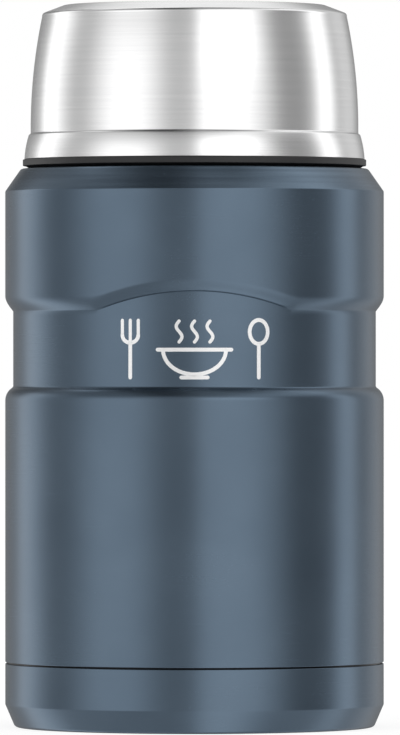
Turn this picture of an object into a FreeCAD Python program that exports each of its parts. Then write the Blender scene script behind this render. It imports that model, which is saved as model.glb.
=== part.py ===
"""Wide-mouthed vacuum food jar with a screw-in stopper and a screw-on cup.

Millimetres. The origin is the centre of the base, +Z points up, and the raised arch on the
waist faces -Y. Everything stands closed: the stopper is screwed in and the cup is screwed
down over it.
"""
import FreeCAD, Part
import math
import os

V = FreeCAD.Vector
UP = V(0, 0, 1)
CENTRE = V(0, 0, 0)

# The two sizes that the rest hangs from: radii count inwards from the barrel's radius, and
# levels above the waist count down from the height of the closed jar
body_radius = 50.0
jar_height = 190.7

# Sheet and moulding thicknesses
shell_wall = 0.5
liner_wall = 0.4
cup_wall = 0.5
bowl_wall = 0.4
cap_wall = 0.7
cap_floor_wall = 0.8
plate_wall = 0.5
foil_wall = 0.15
clip_wall = 0.3
stopper_wall = 1.8

# Clearances
glue_gap = 0.05          # between a cap and the sleeve that it is pressed over
seat_gap = 0.3           # between pieces of different bodies that close on each other
running_gap = 0.1        # between a ring and the groove that carries it
thread_gap = 0.3         # from one thread's crest to the other's root
thread_play = 0.4        # along the axis, from flank to flank
ring_lift = 0.65         # open line between the cup's ring and the shoulder of the jar
ring_rim_gap = 0.15      # from the ring's band to the rim of the steel
joint_line = 0.3         # open line between the base cap and the outer wall

# Outer wall: the barrel with its waist
waist_depth = 2.1
waist_bottom = 90.4
waist_height = 19.3
lower_bend = 4.1         # height of the bend from the lower barrel into the waist
lower_bend_bulge = 0.42
upper_bend = 4.2         # height of the bend from the waist to the upper barrel
upper_bend_bulge = 0.35
upper_bend_foot = 0.5    # height of the steeper foot of that bend
upper_bend_step = 0.25   # width of the same
shoulder_drop = 49.5     # from the top of the closed jar down to the foot of the shoulder
shoulder_height = 6.25
shoulder_reach = 4.8     # how far the shoulder draws in
shoulder_crown = 0.39    # how far it bows out from a straight cone
edge_round = 0.2

# Raised arch at the front of the waist
arch_radius = 66.5
arch_rise = 5.0          # top of the arch above the waist
arch_step = 0.55         # how far the crisp step along the arch stands out
arch_step_rise = 0.1375  # height of that step
arch_blend = 3.4         # height of the soft blend above the step
arch_blend_middle = 0.45 # share of that height at the blend's middle
arch_swell = 0.25        # how far the blend stands out at its middle
arch_proud = 0.03        # the pressed face under the arch stands this far out of the waist
arch_overrun_degrees = 1.5
arch_section_count = 13
tool_margin = 2.0        # how far a cutting form goes past the metal
same_level = 0.01        # an edge this near to a level lies on it

# Neck with the cup's thread
neck_inset = 9.8         # from the barrel in to the neck
neck_root_round = 1.5
lip_drop = 24.7          # from the top of the closed jar down to the lip
lip_round = 0.18

# Threads: both screws have the same lead, so the cup can ride up with the stopper
thread_lead = 12.0
thread_starts = 2
thread_height = 1.0
thread_root = 0.2        # how deep a ridge is sunk into its wall
thread_flank = 0.8       # how much a ridge widens on each side for each mm down its flank
neck_thread_rise = 3.45  # from the shoulder's top up to the start of the neck's thread
neck_thread_turns = 0.58
ring_thread_rise = 3.65  # the same for the ring's thread
ring_thread_turns = 0.4
mouth_thread_drop = 2.8  # from the lip down to the end of the mouth's thread
mouth_thread_turns = 0.5
plug_thread_drop = 9.6   # from the lip down to the start of the plug's thread
plug_thread_turns = 0.5

# Liner
cavity_inset = 8.5       # from the barrel in to the food's space
cavity_floor = 14.0
cavity_corner = 6.0
mouth_inset = 2.1        # from the neck's outside in to the mouth
throat_inset = 2.1       # from the mouth in to the throat
ledge_drop = 12.5        # from the lip down to the sealing ledge
throat_height = 3.8
liner_shoulder_height = 7.1

# Foot: end plate, bead and base cap
cap_top = 16.6           # top edge of the base cap
plate_level = 9.0        # upper face of the end plate
plate_flange = 2.2
plate_corner = 1.6
dimple_radius = 9.0
dimple_depth = 1.2
pump_hole_radius = 0.8
bead_radius = 3.2
bead_height = 1.0
bead_crown = 0.2
foot_inset = 3.4         # from the barrel in to the flat foot
foot_width = 9.6         # width of the ring that the jar stands on
foot_round_height = 0.75
foot_round_bulge = 0.2
foot_chamfer_height = 6.1
foot_chamfer_reach = 2.45
recess_depth = 1.2
recess_slope = 1.6

# Getter and foil
pellet_radius = 4.0
pellet_height = 2.0
clip_flange = 2.2
clip_lip = 1.2           # how far the clip reaches under the pellet
foil_sleeve_rise = 10.0  # from the food's floor up to the foil's lower edge
foil_sleeve_drop = 4.5   # from the liner's shoulder down to its upper edge
foil_disc_inset = 1.5    # from the liner's corner in to the edge of the foil disc

# Cup, from the skirt inwards and from the top down
skirt_inset = 5.15       # from the barrel in to the cup's rim
skirt_height = 6.65
skirt_crown = 0.2
step_inset = 1.65        # from the rim in to the step line
step_reach = 0.65        # how far the skirt steps out under the step line
step_drop = 0.8
step_break = 0.325       # from the step's outer edge in to the break in its slope
step_break_drop = 0.2    # from the step line down to that break
wall_taper = 3.0         # from the step line in to the top of the wall
wall_crown = 0.735       # how far the tapered wall bows out
round_drop = 1.35
round_bulge = 0.22
edge_inset = 0.8
edge_drop = 1.95         # from the flat top down to the rounded edge
bevel_width = 4.8

# Share of the sheet's thickness that goes into a bend's level or radius on the inside
skirt_share = 0.33
step_share = 0.8
edge_share = 0.5
flat_share = 0.25

# Black ring at the cup's rim
ring_proud = 0.51        # how far the ring stands out of the steel
ring_band = 1.9          # height of the band that shows
ring_round = 0.5
ring_land = 1.2          # how far the ring goes up past the step line

# Bowl inside the cup
bowl_rim_height = 0.45
bowl_rim_width = 0.8
bowl_taper = 0.9         # from the bowl's mouth in to its waist
bowl_waist_rise = 9.7    # from its rim up to its waist
bowl_shoulder_inset = 1.8
bowl_shoulder_drop = 7.3
bowl_headroom = 2.9      # between the bowl's sheet and the top of the cup
bowl_flat_inset = 5.9
bowl_crown_outside = 1.9
bowl_crown_inside = 1.8

# Stopper
plug_reach = 1.1         # how far the plug goes below the throat
plug_floor = 2.0
nose_inset = 1.4         # from the throat in to the floor of the gasket's groove
flange_inset = 0.6       # from the neck in to the flange
flange_height = 3.2
flange_round = 0.8
dish_rim = 7.1           # width of the flange's flat top
dish_depth = 1.6
dish_slope = 1.5
spigot_depth = 3.0
spigot_wall = 1.6
grip_width = 13.0
grip_waist = 7.0
grip_height = 3.9        # above the dish floor
grip_root = 0.4          # how deep the grip is sunk into the dish floor
grip_round = 1.2
keeper_height = 2.2      # lip under the gasket
keeper_inset = 0.6       # from the throat in to that lip
keeper_chamfer = 1.0
groove_drop = 1.9        # from the throat's top down to the floor of the gasket's groove
gasket_height = 3.7

# Outer wall and foot
waist_radius = body_radius - waist_depth
waist_top = waist_bottom + waist_height
arch_top = waist_top + arch_rise
shoulder_bottom = jar_height - shoulder_drop
shoulder_top = shoulder_bottom + shoulder_height
sleeve_radius = body_radius - cap_wall - glue_gap
sleeve_bottom = foot_chamfer_height + seat_gap
foot_radius = body_radius - foot_inset
recess_radius = foot_radius - foot_width

# Neck and liner
neck_radius = body_radius - neck_inset
lip_top = jar_height - lip_drop
cavity_radius = body_radius - cavity_inset
mouth_radius = neck_radius - mouth_inset
throat_radius = mouth_radius - throat_inset
ledge_top = lip_top - ledge_drop
throat_top = ledge_top - throat_inset
throat_bottom = throat_top - throat_height
liner_shoulder_bottom = throat_bottom - liner_shoulder_height
liner_outer = cavity_radius + liner_wall
liner_underside = cavity_floor - liner_wall

# Threads
pitch = thread_lead / thread_starts
ridge_mid_width = pitch / 2 - thread_play
neck_thread_bottom = shoulder_top + neck_thread_rise
ring_thread_bottom = shoulder_top + ring_thread_rise
mouth_thread_bottom = lip_top - mouth_thread_drop - mouth_thread_turns * thread_lead
plug_thread_bottom = lip_top - plug_thread_drop

# Cup, ring and bowl
skirt_radius = body_radius - skirt_inset
step_radius = skirt_radius - step_inset
wall_top_radius = step_radius - wall_taper
edge_radius = wall_top_radius - edge_inset
flat_radius = edge_radius - bevel_width
ring_bore = neck_radius + thread_height + thread_gap
ring_radius = skirt_radius + ring_proud
ring_bottom = shoulder_top + ring_lift
ring_band_top = ring_bottom + ring_band
rim_level = ring_band_top + ring_rim_gap
step_level = rim_level + skirt_height
ring_top = step_level + ring_land
bowl_rim_radius = step_radius - cup_wall - seat_gap
bowl_mouth_radius = bowl_rim_radius - bowl_rim_width
bowl_waist_radius = bowl_mouth_radius - bowl_taper
bowl_shoulder_radius = bowl_waist_radius - bowl_shoulder_inset
bowl_flat_radius = bowl_shoulder_radius - bowl_flat_inset
bowl_rim_bottom = ring_top + seat_gap
bowl_waist_level = bowl_rim_bottom + bowl_waist_rise
bowl_ceiling = jar_height - cup_wall - bowl_headroom
bowl_shoulder_level = bowl_ceiling - bowl_shoulder_drop

# Stopper
plug_radius = mouth_radius - thread_height - thread_gap
plug_nose_radius = throat_radius - nose_inset
plug_bottom = throat_bottom - plug_reach
keeper_radius = throat_radius - keeper_inset
pocket_radius = plug_nose_radius - stopper_wall
pocket_floor = plug_bottom + plug_floor
flange_radius = neck_radius - flange_inset
flange_bottom = lip_top + seat_gap
flange_top = flange_bottom + flange_height
dish_radius = flange_radius - dish_rim
dish_floor = flange_top - dish_depth
groove_bottom = throat_top - groove_drop
groove_top = groove_bottom + gasket_height + 2 * running_gap


def point(radius, level):
    """A point of a turned outline, in the plane y = 0."""
    return V(radius, 0, level)


def line(start, end):
    return Part.LineSegment(point(*start), point(*end)).toShape()


def arc(start, middle, end):
    return Part.Arc(point(*start), point(*middle), point(*end)).toShape()


def corner(start, end, bulge):
    """Arc from start to end that bows out to the right of the way from start to end."""
    chord = (end[0] - start[0], end[1] - start[1])
    length = math.hypot(*chord)
    side = (chord[1] / length * bulge, -chord[0] / length * bulge)
    middle = ((start[0] + end[0]) / 2 + side[0], (start[1] + end[1]) / 2 + side[1])
    return arc(start, middle, end)


def chain(*steps):
    """Edges through a run of points. A step ("arc", bulge) between two points makes an arc."""
    edges = []
    here = steps[0]
    bulge = None
    for step in steps[1:]:
        if step[0] == "arc":
            bulge = step[1]
            continue
        edges.append(line(here, step) if bulge is None else corner(here, step, bulge))
        here = step
        bulge = None
    return edges


def turned(*steps):
    """Solid of revolution about Z from a closed outline."""
    edges = chain(*steps, steps[0])
    face = Part.Face(Part.Wire(edges))
    return face.revolve(CENTRE, UP, 360)


def quarter(radius):
    """Bulge of a quarter round of the given radius."""
    return (1 - math.sqrt(0.5)) * radius


def disc(radius, bottom, height):
    return Part.makeCylinder(radius, height, V(0, 0, bottom))


def tube(outer, inner, bottom, height):
    return disc(outer, bottom, height).cut(disc(inner, bottom, height))


def ridge(root_radius, outward, bottom, turns):
    """Thread ridges, one for each start, that stand on a wall of the given radius.

    The ridge lies on the helix level = lead x turns, raised by half a pitch on the
    inward-facing threads, so that an inner and an outer thread always mesh.
    """
    side = 1 if outward else -1
    half_root = (ridge_mid_width + thread_flank * thread_height) / 2
    half_sunk = half_root + thread_flank * thread_root
    half_crest = half_root - thread_flank * thread_height
    shift = 0 if outward else pitch / 2
    start_angle = (bottom - shift) / thread_lead * 360
    height = turns * thread_lead
    made = []
    for start in range(thread_starts):
        spine = Part.makeHelix(thread_lead, height, root_radius)
        base = root_radius - side * thread_root
        crest = root_radius + side * thread_height
        outline = Part.makePolygon([
            point(base, -half_sunk), point(crest, -half_crest),
            point(crest, half_crest), point(base, half_sunk), point(base, -half_sunk)])
        solid = Part.Wire(spine.Edges).makePipeShell([outline], True, True)
        solid.rotate(CENTRE, UP, start_angle + 360 / thread_starts * start)
        solid.translate(V(0, 0, bottom))
        made.append(solid)
    return made


def arch_level(x):
    """Level of the arch line where it crosses the given x."""
    return arch_top - arch_radius + math.sqrt(arch_radius ** 2 - x ** 2)


def arch_cutter(inset):
    """Tool that takes the waist's surface up to the arch line at the front.

    It is a loft through upright sections that stand round the axis. Each section follows
    the waist, a crisp step, and the soft blend out to the barrel.
    """
    half_width = math.sqrt(arch_radius ** 2 - (waist_top - arch_top + arch_radius) ** 2)
    half_angle = math.degrees(math.asin(half_width / waist_radius)) + arch_overrun_degrees
    clear = body_radius + tool_margin
    low = (waist_top + waist_bottom) / 2
    floor = waist_radius - inset + arch_proud
    swell = (arch_step + waist_depth) / 2 + arch_swell
    wires = []
    for index in range(arch_section_count):
        angle = half_angle * (2 * index / (arch_section_count - 1) - 1)
        level = arch_level(waist_radius * math.sin(math.radians(angle))) + inset / 2
        outline = Part.makePolygon([
            point(floor, low),
            point(floor, level),
            point(floor + arch_step, level + arch_step_rise),
            point(floor + swell, level + arch_blend * arch_blend_middle),
            point(floor + waist_depth + running_gap, level + arch_blend),
            point(clear, level + arch_blend),
            point(clear, low),
            point(floor, low)])
        outline.rotate(CENTRE, UP, angle - 90)
        wires.append(outline)
    return Part.makeLoft(wires, True, False)


def barrel_side(inset):
    """Outline steps of the barrel, from the foot of the outer wall to the ledge at the neck."""
    outer = body_radius - inset
    waist = waist_radius - inset
    shoulder_in = outer - shoulder_reach
    return [
        (outer, waist_bottom - lower_bend),
        ("arc", lower_bend_bulge),
        (waist, waist_bottom),
        (waist, waist_top),
        (waist + upper_bend_step, waist_top + upper_bend_foot),
        ("arc", upper_bend_bulge),
        (outer, waist_top + upper_bend),
        (outer, shoulder_bottom - inset / 2),
        ("arc", shoulder_crown),
        (shoulder_in, shoulder_top - inset),
    ]


def make_outer_shell():
    foot = cap_top + joint_line
    inner = sleeve_radius - shell_wall
    neck_inner = neck_radius - shell_wall
    shoulder = barrel_side(0)
    inside = barrel_side(shell_wall)
    lip_seat = lip_top - liner_wall
    outer_form = turned(
        (0, sleeve_bottom), (sleeve_radius, sleeve_bottom), (sleeve_radius, foot),
        (body_radius - edge_round, foot), (body_radius, foot + edge_round), *shoulder,
        (neck_radius + neck_root_round, shoulder_top), ("arc", -quarter(neck_root_round)),
        (neck_radius, shoulder_top + neck_root_round), (neck_radius, lip_seat), (0, lip_seat))
    inner_form = turned(
        (0, sleeve_bottom), (inner, sleeve_bottom), (inner, foot + shell_wall),
        (body_radius - shell_wall, foot + 3 * shell_wall), *inside,
        (neck_inner, shoulder_top - shell_wall), (neck_inner, lip_seat), (0, lip_seat))
    outer_form = outer_form.cut(arch_cutter(0))
    inner_form = inner_form.cut(arch_cutter(shell_wall))
    shell = outer_form.cut(inner_form)
    return shell.fuse(ridge(neck_radius, True, neck_thread_bottom, neck_thread_turns))


def make_inner_vessel():
    mouth_outer = mouth_radius + liner_wall
    throat_outer = throat_radius + liner_wall
    lip_bottom = lip_top - liner_wall
    outer_corner = cavity_corner + liner_wall
    liner = turned(
        (0, liner_underside), (liner_outer - outer_corner, liner_underside),
        ("arc", quarter(outer_corner)),
        (liner_outer, liner_underside + outer_corner), (liner_outer, liner_shoulder_bottom),
        (throat_outer, throat_bottom), (throat_outer, throat_top - liner_wall / 2),
        (mouth_outer, ledge_top - liner_wall / 2), (mouth_outer, lip_bottom),
        (neck_radius, lip_bottom), (neck_radius, lip_top - lip_round),
        (neck_radius - lip_round, lip_top), (mouth_radius + lip_round, lip_top),
        (mouth_radius, lip_top - lip_round), (mouth_radius, ledge_top),
        (throat_radius, throat_top), (throat_radius, throat_bottom),
        (cavity_radius, liner_shoulder_bottom), (cavity_radius, cavity_floor + cavity_corner),
        ("arc", -quarter(cavity_corner)), (cavity_radius - cavity_corner, cavity_floor),
        (0, cavity_floor))
    return liner.fuse(ridge(mouth_radius, False, mouth_thread_bottom, mouth_thread_turns))


def make_end_plate():
    rim = sleeve_radius - shell_wall
    low = plate_level - plate_wall
    bottom = plate_level - plate_flange
    dimple = plate_level - dimple_depth
    return turned(
        (pump_hole_radius, dimple), (dimple_radius - dimple_depth, dimple),
        (dimple_radius, plate_level), (rim - plate_corner, plate_level),
        ("arc", -quarter(plate_corner)),
        (rim, plate_level - plate_corner), (rim, bottom), (rim - plate_wall, bottom),
        (rim - plate_wall, low - plate_corner + plate_wall), (rim - plate_corner, low),
        (dimple_radius, low), (dimple_radius - dimple_depth, dimple - plate_wall),
        (pump_hole_radius, dimple - plate_wall))


def make_seal_bead():
    top = plate_level - dimple_depth - plate_wall
    return turned(
        (0, top), (0, top - bead_height), ("arc", bead_crown), (bead_radius, top))


def make_getter_clip():
    inside = pellet_radius + running_gap
    seat = liner_underside
    floor = seat - pellet_height - running_gap
    return turned(
        (inside, seat - clip_wall), (inside, floor), (inside - clip_lip, floor),
        (inside - clip_lip, floor - clip_wall), (inside + clip_wall, floor - clip_wall),
        (inside + clip_wall, seat - clip_wall), (inside + clip_flange, seat - clip_wall),
        (inside + clip_flange, seat), (inside, seat))


def make_getter_pellet():
    return disc(pellet_radius, liner_underside - pellet_height, pellet_height)


def make_foil_disc():
    hole = pellet_radius + clip_flange + 2 * running_gap
    edge = cavity_radius - cavity_corner - foil_disc_inset
    return tube(edge, hole, liner_underside - foil_wall, foil_wall)


def make_foil_sleeve():
    inner = liner_outer + glue_gap
    bottom = cavity_floor + foil_sleeve_rise
    top = liner_shoulder_bottom - foil_sleeve_drop
    return tube(inner + foil_wall, inner, bottom, top - bottom)


def make_base_cap():
    inner = body_radius - cap_wall
    chamfer_foot = body_radius - foot_chamfer_reach
    raised = recess_depth + cap_floor_wall
    return turned(
        (0, recess_depth), (recess_radius - recess_slope, recess_depth), (recess_radius, 0),
        (foot_radius, 0), ("arc", foot_round_bulge), (chamfer_foot, foot_round_height),
        (body_radius, foot_chamfer_height), (body_radius, cap_top - edge_round),
        (body_radius - edge_round, cap_top), (inner, cap_top), (inner, foot_chamfer_height),
        (chamfer_foot - cap_wall, foot_round_height + cap_floor_wall / 2),
        (foot_radius - cap_wall, cap_floor_wall), (recess_radius, cap_floor_wall),
        (recess_radius - recess_slope, raised), (0, raised))


def skirt_side(inset):
    """Outline steps of the cup's skirt, from its rim up to the step line."""
    below = step_radius + step_reach - inset
    return [
        (skirt_radius - inset, rim_level),
        ("arc", skirt_crown),
        (below, step_level - step_drop - inset * skirt_share),
        (below - step_break, step_level - step_break_drop - inset * step_share),
        (step_radius - inset, step_level - inset),
    ]


def wall_side(inset):
    """Outline steps of the cup from the step line over the wall and bevel to the flat top."""
    edge_level = jar_height - edge_drop
    return [
        ("arc", wall_crown),
        (wall_top_radius - inset, edge_level - round_drop),
        ("arc", round_bulge),
        (edge_radius - inset * edge_share, edge_level - inset),
        (flat_radius - inset * flat_share, jar_height - inset),
        (0, jar_height - inset),
    ]


def make_cup_shell():
    outer = turned((0, rim_level), *skirt_side(0), *wall_side(0))
    inner = turned((0, rim_level), *skirt_side(cup_wall), *wall_side(cup_wall))
    return outer.cut(inner)


def make_cup_ring():
    shape = turned(
        (ring_bore, ring_bottom), (ring_radius - ring_round, ring_bottom),
        ("arc", quarter(ring_round)), (ring_radius, ring_bottom + ring_round),
        (ring_radius, ring_band_top), (skirt_radius - cup_wall - running_gap, ring_band_top),
        *skirt_side(cup_wall + running_gap),
        (step_radius - cup_wall - running_gap, ring_top), (ring_bore, ring_top))
    return shape.fuse(ridge(ring_bore, False, ring_thread_bottom, ring_thread_turns))


def make_cup_bowl():
    wall = bowl_wall
    rim_top = bowl_rim_bottom + bowl_rim_height
    return turned(
        (bowl_mouth_radius, bowl_rim_bottom), (bowl_rim_radius, bowl_rim_bottom),
        (bowl_rim_radius, rim_top), (bowl_mouth_radius + wall, rim_top),
        (bowl_waist_radius + wall, bowl_waist_level),
        (bowl_shoulder_radius + wall, bowl_shoulder_level), ("arc", bowl_crown_outside),
        (bowl_flat_radius, bowl_ceiling + wall), (0, bowl_ceiling + wall), (0, bowl_ceiling),
        (bowl_flat_radius, bowl_ceiling), ("arc", -bowl_crown_inside),
        (bowl_shoulder_radius, bowl_shoulder_level), (bowl_waist_radius, bowl_waist_level))


def make_stopper_body():
    keeper_bottom = groove_bottom - keeper_height
    body = turned(
        (0, plug_bottom), (keeper_radius - keeper_chamfer, plug_bottom),
        (keeper_radius, keeper_bottom), (keeper_radius, groove_bottom),
        (plug_nose_radius, groove_bottom), (plug_nose_radius, groove_top),
        (plug_radius, groove_top), (plug_radius, flange_bottom),
        (pocket_radius, flange_bottom), (pocket_radius, pocket_floor), (0, pocket_floor))
    return body.fuse(ridge(plug_radius, True, plug_thread_bottom, plug_thread_turns))


def make_stopper_gasket():
    inner = plug_nose_radius + running_gap
    foot = groove_bottom + running_gap
    top = groove_top - running_gap
    outer = throat_radius - seat_gap
    crest = mouth_radius - thread_height - seat_gap
    bend = throat_top - running_gap
    return turned(
        (inner, foot), (outer, foot), (outer, bend), (crest, bend + crest - outer),
        (crest, top), (inner, top))


def make_stopper_foam():
    top = flange_bottom - spigot_depth - running_gap
    return disc(pocket_radius - running_gap, pocket_floor, top - pocket_floor)


def make_stopper_cap():
    spigot = pocket_radius - glue_gap
    bottom = flange_bottom - spigot_depth
    shape = turned(
        (0, flange_bottom), (spigot - spigot_wall, flange_bottom), (spigot - spigot_wall, bottom),
        (spigot, bottom), (spigot, flange_bottom), (flange_radius, flange_bottom),
        (flange_radius, flange_top - flange_round), ("arc", quarter(flange_round)),
        (flange_radius - flange_round, flange_top), (dish_radius, flange_top),
        (dish_radius - dish_slope, dish_floor), (0, dish_floor))
    return shape.fuse(make_grip())


def make_grip():
    """Raised bar across the dish, drawn in at the middle for finger and thumb."""
    reach = dish_radius - dish_slope
    half = grip_width / 2
    waist = grip_waist / 2
    ends = math.sqrt(reach ** 2 - half ** 2)
    low = dish_floor - grip_root
    edges = [
        Part.Arc(V(-ends, half, low), V(0, waist, low), V(ends, half, low)).toShape(),
        Part.Arc(V(ends, half, low), V(reach, 0, low), V(ends, -half, low)).toShape(),
        Part.Arc(V(ends, -half, low), V(0, -waist, low), V(-ends, -half, low)).toShape(),
        Part.Arc(V(-ends, -half, low), V(-reach, 0, low), V(-ends, half, low)).toShape()]
    bar = Part.Face(Part.Wire(edges)).extrude(V(0, 0, grip_height + grip_root))
    top = dish_floor + grip_height
    upper = [edge for edge in bar.Edges
             if all(abs(vertex.Z - top) < same_level for vertex in edge.Vertexes)]
    return bar.makeFillet(grip_round, upper)


pieces = {
    "outer_shell": make_outer_shell,
    "inner_vessel": make_inner_vessel,
    "end_plate": make_end_plate,
    "seal_bead": make_seal_bead,
    "getter_clip": make_getter_clip,
    "getter_pellet": make_getter_pellet,
    "foil_disc": make_foil_disc,
    "foil_sleeve": make_foil_sleeve,
    "base_cap": make_base_cap,
    "stopper_body": make_stopper_body,
    "stopper_gasket": make_stopper_gasket,
    "stopper_foam": make_stopper_foam,
    "stopper_cap": make_stopper_cap,
    "cup_bowl": make_cup_bowl,
    "cup_ring": make_cup_ring,
    "cup_shell": make_cup_shell,
}

os.makedirs("parts", exist_ok=True)
for name, make in pieces.items():
    shape = make()
    solids = shape.Solids
    shape = solids[0] if len(solids) == 1 else Part.makeCompound(solids)
    shape.exportStep("parts/" + name + ".step")
    box = shape.optimalBoundingBox()
    print(name, "solids", len(solids), "valid", shape.isValid(),
          "volume", round(shape.Volume, 1), "faces", len(shape.Faces),
          "z", round(box.ZMin, 2), round(box.ZMax, 2), "r", round(box.XMax, 2))
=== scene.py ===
"""Looks of an insulated food jar: painted vacuum body, screw-in stopper and steel cup.

Sizes in the classes are millimetres from the centre of the foot, +Z up, front towards -Y.
They become metres when a mesh is made.
"""
import logging
import math
from collections.abc import Callable
from dataclasses import dataclass, field
from enum import Enum

import bmesh
import bpy
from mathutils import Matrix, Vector


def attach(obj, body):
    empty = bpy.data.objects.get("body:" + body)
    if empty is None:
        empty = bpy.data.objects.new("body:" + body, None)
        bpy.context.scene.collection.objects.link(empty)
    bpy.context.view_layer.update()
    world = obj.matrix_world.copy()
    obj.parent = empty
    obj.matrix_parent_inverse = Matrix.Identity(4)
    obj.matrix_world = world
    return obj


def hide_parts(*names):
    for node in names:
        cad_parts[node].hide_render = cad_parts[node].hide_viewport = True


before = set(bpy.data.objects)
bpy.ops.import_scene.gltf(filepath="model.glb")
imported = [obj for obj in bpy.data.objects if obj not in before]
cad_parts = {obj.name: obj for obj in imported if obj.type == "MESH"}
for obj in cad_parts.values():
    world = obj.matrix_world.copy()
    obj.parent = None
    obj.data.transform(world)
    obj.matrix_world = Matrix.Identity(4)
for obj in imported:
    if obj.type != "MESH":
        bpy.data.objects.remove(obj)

log = logging.getLogger("food_jar")
MM = 0.001
SAME = 0.0001
FULL = 360.0
FULL_TURN = 2 * math.pi
COARSE, FINE, FINER, FINEST = 192, 240, 288, 360
THREAD_ROWS = 46
CONTRAST = (0.3, 0.7)
UNDERFOOT = (-0.15, -0.6)
WHITE = (1, 1, 1, 1)
Point = tuple[float, float]
Span = tuple[float, float]
Ring = list[Point]
Colour = tuple[float, float, float]
Corner = tuple[float, float, float]


class Side(Enum):
    """Which way a thread ridge stands off its wall."""

    OUTWARD = 1
    INWARD = -1


class Way(Enum):
    """A way that the edge of a patch of light is told by, seen from the jar."""

    RIGHT = "to the right"
    ASIDE = "to either side"
    BACK = "to the back"
    UP = "up"
    TURN = "round the jar in degrees"


OVERHEAD = (Way.UP, 0.42, 0.7)


class Socket:
    """A shader value that takes part in Python expressions."""

    def __init__(self, shader: "Shader", link: bpy.types.NodeSocket) -> None:
        """Keep the shader that new nodes go into and the output that the value comes from."""
        self.shader = shader
        self.link = link

    def maths(self, operation: str, *values: "Socket | float") -> "Socket":
        """Result of a Math node, from its operation and its inputs in order."""
        inputs = dict(enumerate(values))
        return self.shader.add("ShaderNodeMath", {"operation": operation}, inputs)

    def __add__(self, other: "Socket | float") -> "Socket":
        """Sum of this and another value."""
        return self.maths("ADD", self, other)

    __radd__ = __add__

    def __sub__(self, other: "Socket | float") -> "Socket":
        """This value less another."""
        return self.maths("SUBTRACT", self, other)

    def __rsub__(self, other: "Socket | float") -> "Socket":
        """Another value less this one."""
        return self.maths("SUBTRACT", other, self)

    def __mul__(self, other: "Socket | float") -> "Socket":
        """Product of this and another value."""
        return self.maths("MULTIPLY", self, other)

    __rmul__ = __mul__

    def __pow__(self, other: "Socket | float") -> "Socket":
        """This value raised to a power."""
        return self.maths("POWER", self, other)

    def smooth(self, low: float, high: float) -> "Socket":
        """Smooth step from 0 at low to 1 at high, also where low is the larger."""
        settings = {"interpolation_type": "SMOOTHSTEP"}
        return self.shader.add("ShaderNodeMapRange", settings, {0: self, 1: low, 2: high})


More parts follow.
